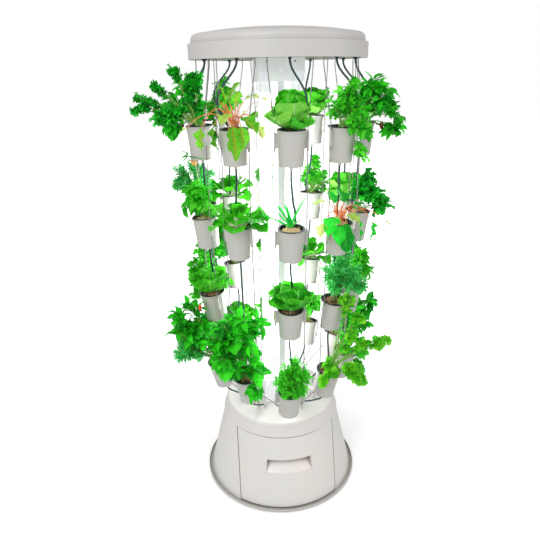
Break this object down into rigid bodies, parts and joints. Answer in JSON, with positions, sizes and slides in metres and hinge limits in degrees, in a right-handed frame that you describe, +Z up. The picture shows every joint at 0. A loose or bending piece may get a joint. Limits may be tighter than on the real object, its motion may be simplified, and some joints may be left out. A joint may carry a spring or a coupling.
{
  "type": "vertical planter tower",
  "caption": "Indoor water-fed planter tower: a lit column between a drawer base and a round cap, with cups of growing plants hung on steel wires round it.",
  "frame": {"origin": "centre of the footprint, on the floor under the middle foot", "axes": "+Z up along the lit column, -Y towards the drawer front, +X to the right of someone facing the drawer"},
  "size_m": [0.8657, 0.73, 1.711],
  "materials": {
    "base_plastic": "warm light grey moulded plastic with a satin face",
    "cup_plastic": "smooth light grey plastic",
    "tank_plastic": "plain moulded plastic",
    "dark_plastic": "black moulded plastic",
    "lamp_plastic": "white plastic lit by the lamps",
    "lamp_glass": "frosted tube, glowing white",
    "led_board": "white circuit board with diodes",
    "aluminium": "satin anodised",
    "steel": "bright drawn wire",
    "screw_steel": "dome heads in the plastic's colour",
    "tube_rubber": "soft dark green-black tube",
    "rubber": "moulded feet",
    "clay": "expanded clay pebbles",
    "leaves": "living leaves"
  },
  "bodies": {
    "tower": {"cap_band": "base_plastic", "cups_bottom": "cup_plastic", "cups_lower": "cup_plastic", "cups_top": "cup_plastic", "cups_upper": "cup_plastic", "deck_anchors": "base_plastic", "deck_lid": "base_plastic", "drain_elbows": "base_plastic", "drain_tubes": "tube_rubber", "drawer_runners": "dark_plastic", "feed_manifold": "dark_plastic", "feed_tubes": "tube_rubber", "floor_tray": "base_plastic", "hanger_plate": "aluminium", "hanger_wires": "steel", "head_screws": "screw_steel", "lamp_head": "lamp_plastic", "lamp_rails": "aluminium", "lamp_sockets_lower": "lamp_plastic", "lamp_sockets_upper": "lamp_plastic", "lamp_tubes": "lamp_glass", "led_boards": "led_board", "mast_tube": "aluminium", "net_cups_bottom": "dark_plastic", "net_cups_lower": "dark_plastic", "net_cups_top": "dark_plastic", "net_cups_upper": "dark_plastic", "pebbles_bottom": "clay", "pebbles_lower": "clay", "pebbles_top": "clay", "pebbles_upper": "clay", "plants_bottom": "leaves", "plants_lower": "leaves", "plants_top": "leaves", "plants_upper": "leaves", "power_inlet": "dark_plastic", "power_supply": "dark_plastic", "pump_housing": "dark_plastic", "pump_motor": "dark_plastic", "return_funnel": "tank_plastic", "riser_hose": "tube_rubber", "rubber_feet": "rubber", "skirt_screws": "screw_steel", "skirt_shell": "base_plastic", "tube_bushes": "tube_rubber", "valve_socket": "dark_plastic", "wire_beads": "cup_plastic", "wire_nuts": "steel"},
    "drawer": {"drawer_front": "base_plastic", "drawer_handle": "base_plastic", "drawer_plate": "base_plastic", "reservoir_tank": "tank_plastic", "tank_cover": "tank_plastic", "flap_pin": "steel", "tank_valve": "dark_plastic"},
    "flap": {"fill_flap": "tank_plastic"},
    "dome": {"cap_dome": "base_plastic"},
    "impeller": {"pump_impeller": "cup_plastic"},
    "button": {"lamp_button": "lamp_plastic"}
  },
  "joints": [
    {"name": "drawer_slide", "type": "slide", "parent": "tower", "child": "drawer", "axis": [0, -1, 0], "range_m": [0, 0.26]},
    {"name": "flap_hinge", "type": "hinge", "parent": "drawer", "child": "flap", "pos_m": [0, -0.0955, 0.1775], "axis": [-1, 0, 0], "range_deg": [0, 85]},
    {"name": "dome_lift", "type": "slide", "parent": "tower", "child": "dome", "axis": [0, 0, 1], "range_m": [0, 0.12]},
    {"name": "impeller_spin", "type": "hinge", "parent": "tower", "child": "impeller", "pos_m": [0, 0.205, 0.03], "axis": [0, 0, 1], "continuous": true},
    {"name": "button_press", "type": "slide", "parent": "tower", "child": "button", "axis": [0, 1, 0], "range_m": [0, 0.0025], "stiffness_N_per_m": 400}
  ]
}
